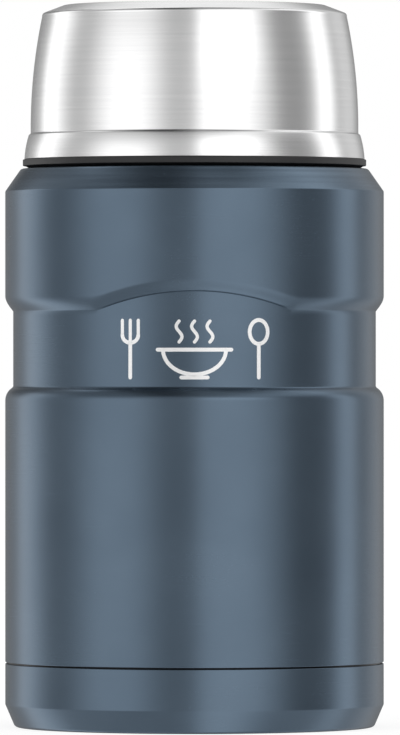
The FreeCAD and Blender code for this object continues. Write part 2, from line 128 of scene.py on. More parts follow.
class Shader:
    """Node tree of one material, or of the world."""

    def __init__(self, tree: bpy.types.NodeTree) -> None:
        """Empty the tree that nodes go into."""
        self.tree = tree
        tree.nodes.clear()

    def add(self, kind: str, settings: dict | None = None, inputs: dict | None = None,
            output: int | str = 0) -> Socket:
        """Add one node.

        Args:
            kind: the node's type.
            settings: attributes, set first.
            inputs: socket names or numbers with values or links.
            output: which output to return.

        Returns:
            The chosen output.
        """
        node = self.tree.nodes.new(kind)
        for name, value in (settings or {}).items():
            setattr(node, name, value)
        for name, value in (inputs or {}).items():
            if isinstance(value, Socket):
                self.tree.links.new(value.link, node.inputs[name])
            else:
                node.inputs[name].default_value = value
        return Socket(self, node.outputs[output])

    def end(self, surface: Socket, kind: str = "ShaderNodeOutputMaterial") -> None:
        """Link a shader to the tree's output, which is made here."""
        node = self.tree.nodes.new(kind)
        self.tree.links.new(surface.link, node.inputs["Surface"])

    def place(self) -> Socket:
        """Object coordinates in metres."""
        return self.add("ShaderNodeTexCoord", output="Object")

    def split(self, vector: Socket) -> tuple[Socket, Socket, Socket]:
        """The three parts of a vector.

        Args:
            vector: the vector.

        Returns:
            Its x, y and z.
        """
        first = self.add("ShaderNodeSeparateXYZ", inputs={0: vector})
        node = first.link.node
        return first, Socket(self, node.outputs[1]), Socket(self, node.outputs[2])

    def around(self) -> tuple[Socket, Socket, Socket, Socket]:
        """The object's own x, y and z, and the distance from its axis."""
        x, y, z = self.split(self.place())
        return x, y, z, (x * x + y * y) ** 0.5

    def cells(self, scale: float, feature: str = "F1") -> Socket:
        """Distance to a feature in a field with so many cells per metre."""
        inputs = {"Vector": self.place(), "Scale": scale}
        return self.add("ShaderNodeTexVoronoi", {"feature": feature}, inputs)

    def noise(self, scale: float, detail: float = 3.0, vector: Socket | None = None) -> Socket:
        """Noise from 0 to 1, read at the object's own place if no vector is given."""
        inputs = {"Vector": vector or self.place(), "Scale": scale, "Detail": detail}
        return self.add("ShaderNodeTexNoise", inputs=inputs)

    def brushed(self, along: float, across: float) -> Socket:
        """Fine lines round the axis, as a turning brush leaves them.

        Args:
            along: streaks per metre round the axis.
            across: lines per metre across the brushing.

        Returns:
            The lines, from 0 to 1.
        """
        x, y, z, radius = self.around()
        line = (z - radius) * (across / along)
        vector = self.add("ShaderNodeCombineXYZ", inputs={0: x, 1: y, 2: line})
        return self.noise(along, vector=vector)

    def blend(self, factor: Socket, first: Colour | Socket, second: Colour) -> Socket:
        """Mix two colours.

        Args:
            factor: 0 for the first colour, 1 for the second.
            first: linear RGB, or a colour from another node.
            second: linear RGB.

        Returns:
            The mixed colour.
        """
        start = first if isinstance(first, Socket) else (*first, 1)
        inputs = {0: factor, 6: start, 7: (*second, 1)}
        return self.add("ShaderNodeMix", {"data_type": "RGBA"}, inputs, 2)

    def bump(self, height: Socket, distance: float) -> Socket:
        """Normal from a height, of which 1 stands a distance in metres off the surface."""
        inputs = {"Height": height, "Distance": distance}
        return self.add("ShaderNodeBump", inputs=inputs)

    def seen(self, gloss: bool = True) -> Socket:
        """Which rays show a surface.

        Args:
            gloss: count rays off gloss as well.

        Returns:
            1 for rays from the camera, through glass and, if asked, off gloss, else 0.
        """
        camera = self.add("ShaderNodeLightPath", output="Is Camera Ray")
        outputs = camera.link.node.outputs
        rays = camera.maths("MAXIMUM", camera, Socket(self, outputs["Is Transmission Ray"]))
        if gloss:
            rays = rays.maths("MAXIMUM", rays, Socket(self, outputs["Is Glossy Ray"]))
        return rays

    def principled(self, **inputs: "Socket | float | tuple") -> None:
        """End the tree in a Principled shader, with underscores for spaces in its sockets."""
        named = {name.replace("_", " "): value for name, value in inputs.items()}
        self.end(self.add("ShaderNodeBsdfPrincipled", inputs=named))


@dataclass(frozen=True)
class Finish:
    """A surface finish. Each kind builds its own nodes. Scales count features per metre."""

    name: str

    def build(self, shader: Shader) -> None:
        """Fill the shader's empty tree."""
        raise NotImplementedError

    def material(self) -> bpy.types.Material:
        """Make the finish's material, or find it if it is made.

        Returns:
            The material.
        """
        made = bpy.data.materials.get(self.name)
        if made is None:
            made = bpy.data.materials.new(self.name)
            made.use_nodes = True
            self.build(Shader(made.node_tree))
        return made

    def dress(self, piece: bpy.types.Object) -> None:
        """Put the finish on every face of a piece.

        Args:
            piece: a mesh object, made here or carried over.
        """
        if not piece.material_slots:
            piece.data.materials.append(self.material())
        for slot in piece.material_slots:
            slot.material = self.material()


@dataclass(frozen=True)
class MetallicPaint(Finish):
    """Satin metallic enamel with fine flake, turned streaks and a trace of orange peel.

    The open joint over the base cap has painted shadow inside: its colour goes near black, told by
    its radius and its level.
    """

    name: str = "slate_blue_enamel"
    shade: Colour = (0.103, 0.145, 0.193)
    deep: Colour = (0.092, 0.131, 0.176)
    streaked: Colour = (0.128, 0.178, 0.234)
    # Painted shadow: near-black colour laid inside the open joint over the base cap, where shade
    # falls.
    joint_painted_shadow: Colour = (0.002, 0.002, 0.003)
    joint_shadow_radii: Span = (0.0496, 0.04935)
    joint_shadow_foot: Span = (0.0155, 0.0159)
    joint_shadow_head: Span = (0.018, 0.0176)
    streak_lines: Span = (14.0, 700.0)
    streak_edges: Span = (0.35, 0.65)
    streak_level: Span = (0.1412, 0.1417)
    fine_lines: Span = (26.0, 2600.0)
    flake_scale: float = 5200.0
    cloud_scale: float = 38.0
    peel_scale: float = 950.0
    metallic: float = 0.88
    roughness: float = 0.2
    uneven: float = 0.04
    sparkle: float = 0.03
    relief: float = 0.0000035
    relief_mix: tuple = (0.6, 0.3, 0.1)
    coat: float = 0.06

    def build(self, shader: Shader) -> None:
        """Lay the cloudy tint, the streaks over the shoulder and the painted shadow in the open
        joint.

        Args:
            shader: the empty tree.
        """
        flake = shader.cells(self.flake_scale)
        cloud = shader.noise(self.cloud_scale)
        peel = shader.noise(self.peel_scale, detail=1.0)
        brushing = shader.brushed(*self.fine_lines)
        _, _, z, radius = shader.around()
        # Painted shadow: this mask darkens the base colour inside the open joint, where shade
        # falls.
        joint = radius.smooth(*self.joint_shadow_radii) * z.smooth(*self.joint_shadow_head)
        joint = joint * z.smooth(*self.joint_shadow_foot)
        tint = shader.blend(cloud.smooth(*CONTRAST), self.deep, self.shade)
        streak = shader.brushed(*self.streak_lines).smooth(*self.streak_edges)
        tint = shader.blend(streak * z.smooth(*self.streak_level), tint, self.streaked)
        # Lay the painted shadow of the joint into the base colour.
        tint = shader.blend(joint, tint, self.joint_painted_shadow)
        rough = self.roughness + self.uneven * (cloud + brushing) + self.sparkle * flake
        waves, lines, specks = self.relief_mix
        height = waves * peel + lines * brushing + specks * flake
        shader.principled(
            Base_Color=tint, Metallic=self.metallic, Roughness=rough,
            Normal=shader.bump(height, self.relief),
            Coat_Weight=self.coat, Coat_Roughness=self.roughness)


@dataclass(frozen=True)
class BrushedSteel(Finish):
    """Stainless steel brushed round the axis."""

    name: str = "turned_steel"
    light: Colour = (0.89, 0.89, 0.89)
    dark: Colour = (0.83, 0.83, 0.835)
    roughness: float = 0.18
    relief: float = 0.000004
    fine_lines: Span = (30.0, 5200.0)
    broad_lines: Span = (9.0, 900.0)
    smear_scale: float = 22.0
    fine_tint: float = 0.6
    fine_relief: float = 0.7
    uneven: float = 0.05
    smeared: float = 0.04

    def build(self, shader: Shader) -> None:
        """Lay fine lines over broad ones.

        Args:
            shader: the empty tree.
        """
        fine = shader.brushed(*self.fine_lines)
        broad = shader.brushed(*self.broad_lines)
        smear = shader.noise(self.smear_scale, detail=2.0)
        lines = self.fine_tint * fine + (1.0 - self.fine_tint) * broad
        tint = shader.blend(lines.smooth(*CONTRAST), self.dark, self.light)
        rough = self.roughness + self.uneven * fine + self.smeared * smear
        height = self.fine_relief * fine + (1.0 - self.fine_relief) * broad
        shader.principled(Base_Color=tint, Metallic=1.0, Roughness=rough,
                          Normal=shader.bump(height, self.relief))


@dataclass(frozen=True)
class MouldedPlastic(Finish):
    """Fine-textured moulded plastic, rubber or pressed powder."""

    name: str = "moulded_black"
    shade: Colour = (0.010, 0.010, 0.011)
    worn: Colour = (0.017, 0.017, 0.018)
    roughness: float = 0.42
    grain_scale: float = 3800.0
    relief: float = 0.00001
    cloud_scale: float = 60.0
    worn_edges: Span = (0.35, 0.75)
    uneven: float = 0.1
    clouded: float = 0.06

    def build(self, shader: Shader) -> None:
        """Lay a fine grain over a cloudy tint.

        Args:
            shader: the empty tree.
        """
        grain = shader.noise(self.grain_scale, detail=2.0)
        cloud = shader.noise(self.cloud_scale)
        tint = shader.blend(cloud.smooth(*self.worn_edges), self.shade, self.worn)
        rough = self.roughness + self.uneven * grain + self.clouded * cloud
        shader.principled(Base_Color=tint, Roughness=rough,
                          Normal=shader.bump(grain, self.relief))


@dataclass(frozen=True)
class CrinkledFoil(Finish):
    """Thin bright foil with shallow creases."""

    name: str = "creased_foil"
    dark: Colour = (0.78, 0.78, 0.79)
    light: Colour = (0.88, 0.88, 0.89)
    crease_scale: float = 85.0
    crease_width: Span = (0.0, 0.16)
    fine_scale: float = 400.0
    fine_relief: float = 0.2
    roughness: float = 0.18
    uneven: float = 0.12
    relief: float = 0.0002

    def build(self, shader: Shader) -> None:
        """Lay creases between cells, with a fine crumple over them.

        Args:
            shader: the empty tree.
        """
        crease = shader.cells(self.crease_scale, "DISTANCE_TO_EDGE")
        fine = shader.noise(self.fine_scale)
        height = crease.smooth(*self.crease_width) + self.fine_relief * fine
        tint = shader.blend(fine, self.dark, self.light)
        shader.principled(
            Base_Color=tint, Metallic=1.0, Roughness=self.roughness + self.uneven * fine,
            Normal=shader.bump(height, self.relief))


@dataclass(frozen=True)
class Speckle(Finish):
    """Foam or ink, whose tint, roughness and relief follow one pattern."""

    first: Colour
    second: Colour
    scale: float
    roughness: float
    uneven: float
    relief: float
    metallic: float = 0.0
    cell_edge: Span | None = None

    def build(self, shader: Shader) -> None:
        """Lay cells where they have an edge, else a mottle.

        Args:
            shader: the empty tree.
        """
        pattern = shader.cells(self.scale) if self.cell_edge else shader.noise(self.scale)
        share = pattern.smooth(*self.cell_edge) if self.cell_edge else pattern
        shader.principled(
            Base_Color=shader.blend(share, self.first, self.second), Metallic=self.metallic,
            Roughness=self.roughness + self.uneven * pattern,
            Normal=shader.bump(pattern, self.relief))


PAINT = MetallicPaint()
STEEL = BrushedSteel()
LINER = BrushedSteel("liner_steel", (0.78, 0.78, 0.78), (0.71, 0.71, 0.715), 0.28, 0.000003)
PLATE = BrushedSteel("plate_steel", (0.62, 0.62, 0.62), (0.55, 0.55, 0.555), 0.36, 0.000005)
BRAZE = BrushedSteel("braze_metal", (0.62, 0.57, 0.46), (0.5, 0.45, 0.36), 0.4, 0.00001)
BLACK = MouldedPlastic()
GREY_RUBBER = MouldedPlastic("grey_silicone", (0.42, 0.43, 0.44), (0.48, 0.49, 0.5), 0.55, 1500.0)
POWDER = MouldedPlastic("pressed_powder", (0.10, 0.10, 0.10), (0.16, 0.16, 0.16), 0.85, 2600.0,
                        0.00006)
FOIL = CrinkledFoil()
FOAM = Speckle("cell_foam", (0.84, 0.82, 0.76), (0.68, 0.66, 0.6), 700.0, 0.8, 0.1, 0.0003,
               cell_edge=(0.0, 0.8))
INK = Speckle("white_ink", (0.94, 0.94, 0.94), (0.99, 0.99, 0.99), 520.0, 0.26, 0.12, 0.000004, 0.3)


@dataclass
class Outline:
    """A turned outline: corner points with their roundings, and arcs between them."""

    corners: list[Corner] = field(default_factory=list)
    arc_steps: int = 10
    round_steps: int = 4
    most_rounded: float = 0.49

    def to(self, radius: float, level: float, rounding: float = 0.0) -> "Outline":
        self.corners.append((radius, level, rounding))
        return self

    def bow(self, radius: float, level: float, bulge: float, rounding: float = 0.0) -> "Outline":
        """Go to a point along an arc.

        Args:
            radius: distance of the end from the axis.
            level: height of the end.
            bulge: how far the arc bows to the right of the way.
            rounding: radius of the corner at the end.

        Returns:
            This outline.
        """
        start = self.corners[-1]
        across, up = radius - start[0], level - start[1]
        chord = math.hypot(across, up)
        half = 2 * math.atan(2 * abs(bulge) / chord)
        size = chord / 2 / math.sin(half)
        side = math.copysign(1, bulge)
        right = (up / chord * side, -across / chord * side)
        for step in range(1, self.arc_steps):
            turn = half * (2 * step / self.arc_steps - 1)
            out = size * (math.cos(turn) - math.cos(half))
            share = 0.5 + size * math.sin(turn) / chord
            self.to(start[0] + across * share + right[0] * out,
                    start[1] + up * share + right[1] * out)
        return self.to(radius, level, rounding)

    def rows(self, radius: float, level: float, count: int) -> "Outline":
        """Go straight to a point in even steps, so that a ridge can rise from the wall.

        Args:
            radius: distance of the end from the axis.
            level: height of the end.
            count: number of steps.

        Returns:
            This outline.
        """
        start = self.corners[-1]
        for step in range(1, count + 1):
            share = step / count
            self.to(start[0] + (radius - start[0]) * share, start[1] + (level - start[1]) * share)
        return self

    def finish(self, closed: bool = False) -> Ring:
        """Round the corners.

        Args:
            closed: the last point joins the first.

        Returns:
            The points in order.
        """
        made: Ring = []
        count = len(self.corners)
        for index, (radius, level, rounding) in enumerate(self.corners):
            if not rounding or (not closed and index in (0, count - 1)):
                made.append((radius, level))
                continue
            here = Vector((radius, level))
            before = Vector(self.corners[index - 1][:2]) - here
            after = Vector(self.corners[(index + 1) % count][:2]) - here
            reach = min(rounding / math.tan(before.angle(after) / 2),
                        before.length * self.most_rounded, after.length * self.most_rounded)
            first = here + before.normalized() * reach
            last = here + after.normalized() * reach
            for step in range(self.round_steps + 1):
                share = step / self.round_steps
                bent = first.lerp(here, share).lerp(here.lerp(last, share), share)
                made.append((bent.x, bent.y))
        return made


@dataclass(frozen=True)
class Thread:
    """Two-start rolled thread that stands off a round wall."""

    side: Side
    bottom: float
    turns: float
    lead: float = 12.0
    starts: int = 2
    height: float = 0.95
    root_half: float = 1.68
    crest_half: float = 0.75
    fade: float = 14.0

    def rise(self, angle: float, level: float) -> float:
        """How far the wall stands off at a place.

        Args:
            angle: degrees round the axis.
            level: height.

        Returns:
            Radius to add, in millimetres.
        """
        shift = 0.0 if self.side is Side.OUTWARD else self.lead / self.starts / 2
        span = self.turns * FULL
        best = 0.0
        for start in range(self.starts):
            first = (self.bottom - shift) / self.lead * FULL + FULL / self.starts * start
            past = (angle - first + self.fade) % FULL - self.fade
            if past > span + self.fade:
                continue
            centre = self.bottom + self.lead * past / FULL
            flank = (self.root_half - abs(level - centre)) / (self.root_half - self.crest_half)
            ends = min((past + self.fade) / self.fade, (span + self.fade - past) / self.fade)
            best = max(best, eased(flank) * eased(ends))
        return self.side.value * best * self.height

    def ridged(self, points: Ring, wall: float, angle: float) -> Ring:
        """An outline at an angle in degrees, with the ridges standing off one of its walls."""
        return [(r + self.rise(angle, z), z) if abs(r - wall) < SAME else (r, z)
                for r, z in points]


def clipped(share: float) -> float:
    """The value kept between 0 and 1."""
    return max(0.0, min(1.0, share))


def eased(share: float) -> float:
    """Smooth step from 0 to 1 over the same range."""
    share = clipped(share)
    return share * share * (3 - 2 * share)


def turned_mesh(name: str, outline: Callable[[float], Ring], segments: int = FINE,
                closed: bool = False) -> bpy.types.Object:
    """Make a closed mesh by turning an outline about the axis.

    Args:
        name: the piece's name.
        outline: gives the points at an angle in degrees, always as many.
        segments: steps round the axis.
        closed: the outline is a ring that doesn't touch the axis.

    Returns:
        The new object.
    """
    mesh = bmesh.new()
    columns = []
    poles = {}
    for step in range(segments):
        degrees = FULL * step / segments
        cosine, sine = math.cos(math.radians(degrees)), math.sin(math.radians(degrees))
        column = []
        for index, (radius, level) in enumerate(outline(degrees)):
            place = Vector((radius * cosine, radius * sine, level)) * MM
            if radius >= SAME:
                column.append(mesh.verts.new(place))
                continue
            if index not in poles:
                poles[index] = mesh.verts.new((0, 0, level * MM))
            column.append(poles[index])
        columns.append(column)
    rows = len(columns[0])
    for step, here in enumerate(columns):
        after = columns[(step + 1) % segments]
        for row in range(rows if closed else rows - 1):
            above = (row + 1) % rows
            corners = [here[row], after[row], after[above], here[above]]
            corners = [v for place, v in enumerate(corners) if v not in corners[:place]]
            if len(corners) > 2:
                mesh.faces.new(corners)
    return to_object(name, mesh)


def to_object(name: str, mesh: bmesh.types.BMesh, sharp: float = 38.0) -> bpy.types.Object:
    """Turn a working mesh into a smooth-shaded object.

    Args:
        name: the piece's name.
        mesh: the working mesh, freed here.
        sharp: edges that bend more than this many degrees stay crisp.

    Returns:
        The new object.
    """
    bmesh.ops.recalc_face_normals(mesh, faces=mesh.faces)
    data = bpy.data.meshes.new(name)
    mesh.to_mesh(data)
    mesh.free()
    data.polygons.foreach_set("use_smooth", [True] * len(data.polygons))
    data.set_sharp_from_angle(angle=math.radians(sharp))
    made = bpy.data.objects.new(name, data)
    bpy.context.collection.objects.link(made)
    return made


def fit(piece: bpy.types.Object, body: str, node: str, finish: Finish) -> None:
    """Let a piece stand for a node, ride its body and wear its finish.

    Args:
        piece: the new piece.
        body: the body that it moves with.
        node: the node that it stands for.
        finish: what it wears.
    """
    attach(piece, body)
    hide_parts(node)
    finish.dress(piece)
    log.info("%s rides on %s, %d faces", piece.name, body, len(piece.data.polygons))


def carry(node: str, finish: Finish) -> None:
    """Dress a node that is shown as it comes."""
    finish.dress(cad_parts[node])
    log.info("%s is carried over", node)


@dataclass
class VacuumBody:
    """The jar without its lids: painted outer wall, liner and pressed-on base cap."""

    radius: float = 50.0
    waist: float = 47.9
    waist_bottom: float = 90.35
    waist_top: float = 109.7
    waist_margin: float = 1.5
    lower_bend: float = 4.15
    lower_bend_bulge: float = 0.48
    crease_width: float = 0.3
    crease_height: float = 0.8
    crease_bulge: float = 0.12
    upper_bend: float = 4.2
    bend_overrun: float = 1.02
    bend_power: float = 1.03
    bend_steps: int = 18
    wall: float = 0.5
    edge: float = 0.22
    joint: float = 16.78
    joint_gap: float = 0.4
    sleeve: float = 49.25
    sleeve_bottom: float = 6.4
    sleeve_edge: float = 0.2
    upper_barrel: float = 121.0
    shoulder_bottom: float = 141.4
    shoulder_foot_round: float = 0.7
    shoulder_top: float = 147.4
    shoulder_top_round: float = 1.2
    shoulder_in: float = 45.8
    neck: float = 40.2
    neck_root: float = 1.5
    neck_root_bulge: float = 0.44
    neck_thread: Thread = Thread(Side.OUTWARD, 150.9, 0.58)
    neck_thread_top: float = 160.5
    arch_radius: float = 66.5
    arch_top: float = 114.7
    arch_ease: float = 1.1
    arch_softness: float = 0.05
    arch_step: float = 0.5
    arch_step_height: float = 0.12
    arch_blend: float = 3.6
    arch_power: float = 1.1
    lip: float = 166.0
    lip_outer_round: float = 0.2
    lip_inner_round: float = 0.9
    mouth: float = 38.1
    mouth_thread: Thread = Thread(Side.INWARD, 157.2, 0.5)
    mouth_thread_top: float = 164.9
    ledge: float = 153.5
    ledge_margin: float = 0.8
    ledge_rounds: Span = (0.4, 0.6)
    ledge_back_round: float = 0.5
    throat: float = 36.0
    throat_bottom: float = 147.6
    throat_round: float = 1.5
    liner_wall: float = 0.4
    liner_shoulder: float = 7.1
    liner_shoulder_round: float = 3.0
    cavity: float = 41.5
    cavity_corner: float = 6.0
    floor: float = 14.0
    recess: float = 35.4
    recess_height: float = 1.2
    recess_round: float = 0.6
    foot_inner: float = 37.0
    foot_inner_round: float = 0.5
    foot_outer: float = 46.6
    heel: float = 47.75
    heel_level: float = 0.75
    heel_bulge: float = 0.2
    chamfer_top: float = 6.0
    chamfer_round: float = 0.8
    cap_wall: float = 0.7
    cap_floor: float = 0.8
    cap_inner_top: float = 6.1
    heel_inside: Point = (46.85, 1.15)

    def arch(self, angle: float) -> tuple[float, float]:
        """The waist's upper edge at an angle.

        Args:
            angle: degrees round the axis.

        Returns:
            Its level, and how much of the crisp arch step shows, 0 to 1.
        """
        across = self.waist * math.cos(math.radians(angle))
        if math.sin(math.radians(angle)) > 0 or abs(across) >= self.arch_radius:
            return self.waist_top, 0.0
        level = self.arch_top - self.arch_radius + math.sqrt(self.arch_radius ** 2 - across ** 2)
        above = level - self.waist_top
        soft = 0.5 * (above + math.sqrt(above * above + self.arch_softness))
        return self.waist_top + soft, eased(above / self.arch_ease)

    def bend(self, angle: float, inset: float) -> Ring:
        """Points of the wall from the waist's upper edge out to the barrel.

        Args:
            angle: degrees round the axis.
            inset: how far inside the painted face.

        Returns:
            The points, going up.
        """
        level, crisp = self.arch(angle)
        depth = self.radius - self.waist
        height = self.upper_bend + (self.arch_blend - self.upper_bend) * crisp
        blend_height = height - self.arch_step_height
        made = []
        for step in range(self.bend_steps + 1):
            share = step / self.bend_steps
            plain = math.sin(math.pi / 2 * min(1.0, share * self.bend_overrun)) ** self.bend_power
            curved = 0.5 - 0.5 * math.cos(math.pi * share)
            first = min(1.0, step / 2)
            stepped = (self.arch_step * first + (depth - self.arch_step) * curved) / depth
            out = depth * (plain + (stepped - plain) * crisp)
            raised = self.arch_step_height * first + blend_height * share ** self.arch_power
            lift = height * share * (1 - crisp) + crisp * raised
            made.append((self.waist + out - inset, level + lift))
        return made

    def build_wall(self) -> None:
        """Make the painted outer wall with its arch, shoulder and threaded neck."""
        t = self.wall
        foot = self.joint + self.joint_gap
        belly = self.waist_bottom - self.lower_bend
        under_arch = self.waist_top - self.waist_margin
        lip = self.lip - self.liner_wall
        out = Outline().to(self.sleeve, self.sleeve_bottom, self.sleeve_edge).to(self.sleeve, foot)
        out.to(self.radius, foot, self.edge).to(self.radius, belly)
        out.bow(self.waist + self.crease_width, self.waist_bottom - self.crease_height,
                self.lower_bend_bulge)
        out.bow(self.waist, self.waist_bottom, -self.crease_bulge)
        lower = out.finish(True) + [(self.waist, under_arch)]
        out = Outline().to(self.radius, self.upper_barrel)
        out.to(self.radius, self.shoulder_bottom, self.shoulder_foot_round)
        out.to(self.shoulder_in, self.shoulder_top, self.shoulder_top_round)
        out.to(self.neck + self.neck_root, self.shoulder_top)
        out.bow(self.neck, self.shoulder_top + self.neck_root, -self.neck_root_bulge)
        out.rows(self.neck, self.neck_thread_top, THREAD_ROWS).to(self.neck, lip)
        out.to(self.neck - t, lip).to(self.neck - t, self.shoulder_top - t)
        out.to(self.shoulder_in - t, self.shoulder_top - t)
        out.to(self.radius - t, self.shoulder_bottom - t).to(self.radius - t, self.upper_barrel)
        upper = out.finish(True)
        out = Outline().to(self.waist - t, under_arch).to(self.waist - t, self.waist_bottom)
        out.to(self.radius - t, belly).to(self.radius - t, foot + 3 * t)
        out.to(self.sleeve - t, foot + t).to(self.sleeve - t, self.sleeve_bottom)
        inside = out.finish()
        piece = turned_mesh("jar_outer_wall", lambda angle: [
            *lower, *self.bend(angle, 0.0), *self.neck_thread.ridged(upper, self.neck, angle),
            *reversed(self.bend(angle, t)), *inside], FINEST, True)
        fit(piece, "jar", "outer_shell", PAINT)

    def build_liner(self) -> None:
        """Make the steel liner with its rolled lip, threaded mouth and sealing ledge."""
        t = self.liner_wall
        shoulder = self.throat_bottom - self.liner_shoulder
        throat_top = self.ledge - (self.mouth - self.throat)
        out = Outline().to(0, self.floor - t)
        out.to(self.cavity + t, self.floor - t, self.cavity_corner + t)
        out.to(self.cavity + t, shoulder, self.liner_shoulder_round)
        out.to(self.throat + t, self.throat_bottom, self.throat_round)
        out.to(self.throat + t, throat_top - t / 2, self.ledge_back_round)
        out.to(self.mouth + t, self.ledge - t / 2, self.ledge_back_round)
        out.to(self.mouth + t, self.lip - t).to(self.neck, self.lip - t)
        out.to(self.neck, self.lip, self.lip_outer_round)
        out.to(self.mouth, self.lip, self.lip_inner_round).to(self.mouth, self.mouth_thread_top)
        out.rows(self.mouth, self.ledge + self.ledge_margin, THREAD_ROWS)
        out.to(self.mouth, self.ledge, self.ledge_rounds[0])
        out.to(self.throat, throat_top, self.ledge_rounds[1])
        out.to(self.throat, self.throat_bottom, self.throat_round)
        out.to(self.cavity, shoulder, self.liner_shoulder_round)
        out.to(self.cavity, self.floor, self.cavity_corner).to(0, self.floor)
        points = out.finish()
        piece = turned_mesh("jar_liner", lambda angle: self.mouth_thread.ridged(
            points, self.mouth, angle))
        fit(piece, "jar", "inner_vessel", LINER)

    def build_cap(self) -> None:
        """Make the painted base cap."""
        side = self.radius - self.cap_wall
        raised = self.recess_height + self.cap_floor
        out = Outline().to(0, self.recess_height)
        out.to(self.recess, self.recess_height, self.recess_round)
        out.to(self.foot_inner, 0, self.foot_inner_round).to(self.foot_outer, 0)
        out.bow(self.heel, self.heel_level, self.heel_bulge)
        out.to(self.radius, self.chamfer_top, self.chamfer_round)
        out.to(self.radius, self.joint, self.edge).to(side, self.joint)
        out.to(side, self.cap_inner_top).to(*self.heel_inside)
        out.to(self.foot_outer - self.cap_wall, self.cap_floor)
        out.to(self.foot_inner, self.cap_floor).to(self.recess, raised).to(0, raised)
        points = out.finish()
        piece = turned_mesh("jar_base_cap", lambda angle: points)
        fit(piece, "jar", "base_cap", PAINT)

    def build(self) -> None:
        """Build the body and dress what is carried over inside it."""
        self.build_wall()
        self.build_liner()
        self.build_cap()
        for node, finish in (("end_plate", PLATE), ("seal_bead", BRAZE), ("getter_clip", PLATE),
                             ("getter_pellet", POWDER), ("foil_disc", FOIL),
                             ("foil_sleeve", FOIL)):
            carry(node, finish)


@dataclass
class Stopper:
    """The screw-in stopper: plug, top with its grip bar, foam and gasket."""

    radius: float = 36.8
    bottom: float = 146.5
    floor: float = 148.5
    keeper: float = 35.4
    keeper_chamfer: float = 1.0
    keeper_chamfer_round: float = 1.2
    keeper_bottom: float = 147.6
    nose: float = 34.6
    groove_bottom: float = 149.5
    groove_top: float = 153.4
    groove_round: float = 0.3
    shoulder_round: float = 0.4
    thread: Thread = Thread(Side.OUTWARD, 156.4, 0.5)
    thread_rows: Span = (154.2, 165.4)
    top: float = 166.3
    pocket: float = 32.8
    seal_inner: float = 34.7
    seal_foot: float = 35.7
    seal_levels: tuple = (149.6, 151.3, 152.4, 153.3)
    seal_rounds: tuple = (0.2, 0.25, 0.3, 0.4, 0.35)
    flange: float = 39.6
    flange_height: float = 3.2
    flange_under_round: float = 0.3
    flange_top_round: float = 0.9
    spigot: float = 32.75
    spigot_wall: float = 1.6
    spigot_bottom: float = 163.3
    spigot_round: float = 0.2
    dish: float = 32.5
    dish_depth: float = 1.6
    dish_slope: float = 1.5
    dish_rounds: Span = (0.5, 0.4)
    dish_rings: int = 124
    grip_waist: float = 3.5
    grip_flare: float = 3.0
    grip_length: float = 31.0
    grip_end: float = 31.2
    grip_height: float = 3.9
    grip_round: float = 1.3
    grip_power: float = 0.6

    def build_plug(self) -> None:
        """Make the plug with its thread."""
        low, high = self.thread_rows
        out = Outline().to(0, self.bottom)
        out.to(self.keeper - self.keeper_chamfer, self.bottom, self.keeper_chamfer_round)
        out.to(self.keeper, self.keeper_bottom, self.shoulder_round)
        out.to(self.keeper, self.groove_bottom, self.groove_round)
        out.to(self.nose, self.groove_bottom).to(self.nose, self.groove_top)
        out.to(self.radius, self.groove_top, self.shoulder_round).to(self.radius, low)
        out.rows(self.radius, high, THREAD_ROWS).to(self.radius, self.top)
        out.to(self.pocket, self.top).to(self.pocket, self.floor).to(0, self.floor)
        points = out.finish()
        piece = turned_mesh("stopper_plug", lambda angle: self.thread.ridged(
            points, self.radius, angle))
        fit(piece, "stopper", "stopper_body", BLACK)

    def build_gasket(self) -> None:
        """Make the silicone ring."""
        foot, bend, crest, top = self.seal_levels
        inner, heel, hollow, lobe, brow = self.seal_rounds
        out = Outline().to(self.seal_inner, foot, inner).to(self.seal_foot, foot, heel)
        out.to(self.seal_foot, bend, hollow).to(self.radius, crest, lobe)
        out.to(self.radius, top, brow).to(self.seal_inner, top, inner)
        points = out.finish(True)
        piece = turned_mesh("stopper_seal_ring", lambda angle: points, COARSE, True)
        fit(piece, "stopper_seal", "stopper_gasket", GREY_RUBBER)

    def grip(self, x: float, y: float) -> float:
        """Height of the grip bar over the dish floor at a place.

        Args:
            x: across the stopper.
            y: along the view from the front.

        Returns:
            Height in millimetres, 0 beside the bar.
        """
        waist = self.grip_waist + self.grip_flare * (x / self.grip_length) ** 2
        inside = min(waist - abs(y), self.grip_end - math.hypot(x, y))
        share = clipped(inside / self.grip_round)
        return self.grip_height * math.sin(math.pi / 2 * share) ** self.grip_power

    def build_top(self) -> None:
        """Make the moulded top: flange, dish and grip bar."""
        high = self.top + self.flange_height
        low = high - self.dish_depth
        inner = self.spigot - self.spigot_wall
        out = Outline().to(0, self.top).to(inner, self.top)
        out.to(inner, self.spigot_bottom, self.spigot_round)
        out.to(self.spigot, self.spigot_bottom, self.spigot_round).to(self.spigot, self.top)
        out.to(self.flange, self.top, self.flange_under_round)
        out.to(self.flange, high, self.flange_top_round)
        out.to(self.dish, high, self.dish_rounds[0])
        out.to(self.dish - self.dish_slope, low, self.dish_rounds[1])
        points = out.rows(0.0, low, self.dish_rings).finish()

        def outline(angle: float) -> Ring:
            """Stand the grip bar on the dish floor.

            Args:
                angle: degrees round the axis.

            Returns:
                The outline at that angle.
            """
            cosine, sine = math.cos(math.radians(angle)), math.sin(math.radians(angle))
            return [(r, z + self.grip(r * cosine, r * sine)) if abs(z - low) < SAME else (r, z)
                    for r, z in points]

        piece = turned_mesh("stopper_top", outline, FINER)
        fit(piece, "stopper", "stopper_cap", BLACK)

    def build(self) -> None:
        """Build the stopper and dress its foam."""
        self.build_plug()
        self.build_gasket()
        self.build_top()
        carry("stopper_foam", FOAM)


